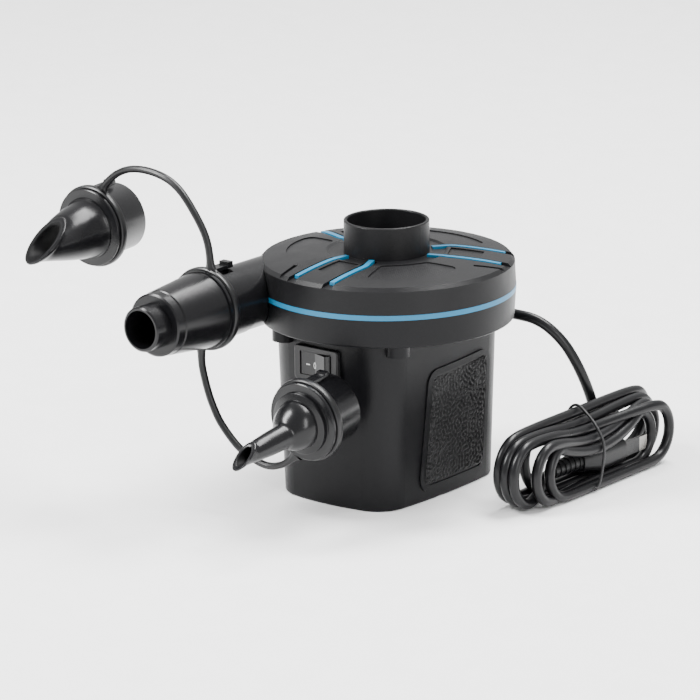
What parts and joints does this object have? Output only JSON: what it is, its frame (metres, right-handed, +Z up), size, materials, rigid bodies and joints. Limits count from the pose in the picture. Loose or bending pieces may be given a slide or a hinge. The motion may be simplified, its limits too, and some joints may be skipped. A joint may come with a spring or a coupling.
{
  "type": "electric air mattress pump",
  "caption": "Hand-sized mains electric air pump for air beds: round blower on an oval motor housing, side outlet with tethered push-on nozzles, rocker switch and cord with plug.",
  "frame": {"origin": "centre of the flat base, on the floor, under the impeller's axis", "axes": "+Z up along the impeller's axis, towards the air inlet; the outlet nozzle points towards -Y; the grip panels face +X and -X; the mains cord leaves at the back, towards +X"},
  "size_m": [0.2012, 0.2325, 0.1433],
  "materials": {
    "housing_plastic": "fine spark-eroded satin",
    "cover_plastic": "fine matte",
    "grip_plastic": "worm-pattern moulded texture",
    "accent_blue": "semi-gloss",
    "nozzle_plastic": "semi-gloss moulded",
    "tether_rubber": "satin flexible plastic",
    "switch_plastic": "satin",
    "inner_plastic": "plain moulded",
    "impeller_plastic": "plain moulded",
    "steel": "bright",
    "lamination_steel": "oiled",
    "copper": "enamelled wire",
    "brass": "plated",
    "carbon": "pressed graphite",
    "capacitor_plastic": "resin filled box",
    "wire_insulation": "soft insulation",
    "cord_rubber": "satin sheath",
    "cord_end_rubber": "moulded on",
    "tie_plastic": "coated wire"
  },
  "bodies": {
    "pump": {"motor_housing": "housing_plastic", "grip_panel_right": "grip_plastic", "grip_panel_left": "grip_plastic", "accent_ring": "accent_blue", "top_cover": "cover_plastic", "accent_inlays": "accent_blue", "inlet_guard": "cover_plastic", "housing_screws": "steel", "outlet_port": "nozzle_plastic", "motor_deck": "inner_plastic", "upper_bearing": "steel", "lower_bearing": "steel", "stator_core": "lamination_steel", "field_coils": "copper", "lower_bracket": "inner_plastic", "motor_screws": "steel", "brush_holders": "inner_plastic", "carbon_brushes": "carbon", "brush_springs": "steel", "switch_frame": "switch_plastic", "switch_body": "inner_plastic", "switch_terminals": "brass", "suppression_capacitor": "capacitor_plastic", "lead_wires": "wire_insulation", "cord_strain_relief": "cord_end_rubber", "mains_cord": "cord_rubber", "cord_hank": "cord_rubber", "cord_tie": "tie_plastic", "plug_strain_relief": "cord_end_rubber", "plug_body": "cord_end_rubber", "plug_pins": "brass"},
    "rotor": {"motor_shaft": "steel", "armature_core": "lamination_steel", "armature_windings": "copper", "commutator": "copper", "impeller": "impeller_plastic", "impeller_nut": "steel"},
    "switch_rocker": {"rocker": "switch_plastic", "rocker_contact": "brass"},
    "nozzle_ring": {"tether_hub": "tether_rubber"},
    "outlet_nozzle": {"large_nozzle": "nozzle_plastic"},
    "upper_nozzle": {"medium_nozzle": "nozzle_plastic", "tether_upper": "tether_rubber"},
    "lower_nozzle": {"small_nozzle": "nozzle_plastic", "tether_lower": "tether_rubber"}
  },
  "joints": [
    {"name": "rotor_spin", "type": "hinge", "parent": "pump", "child": "rotor", "pos_m": [0, 0, 0.05], "axis": [0, 0, 1], "continuous": true},
    {"name": "switch_rock", "type": "hinge", "parent": "pump", "child": "switch_rocker", "pos_m": [-0.0015, -0.0445, 0.062], "axis": [0, 0, 1], "range_deg": [0, 20]},
    {"name": "nozzle_pull", "type": "slide", "parent": "pump", "child": "nozzle_ring", "axis": [0, -1, 0], "range_m": [0, 0.02]},
    {"name": "nozzle_twist", "type": "hinge", "parent": "nozzle_ring", "child": "outlet_nozzle", "pos_m": [-0.0392, -0.075, 0.0862], "axis": [0, -1, 0], "range_deg": [0, 25]},
    {"name": "upper_strap_flex", "type": "hinge", "parent": "nozzle_ring", "child": "upper_nozzle", "pos_m": [-0.0477, -0.073, 0.1305], "axis": [0, 1, 0], "range_deg": [-30, 30], "stiffness_Nm_per_rad": 0.4},
    {"name": "lower_strap_flex", "type": "hinge", "parent": "nozzle_ring", "child": "lower_nozzle", "pos_m": [-0.0359, -0.073, 0.0432], "axis": [0, 1, 0], "range_deg": [-20, 20], "stiffness_Nm_per_rad": 0.4}
  ]
}
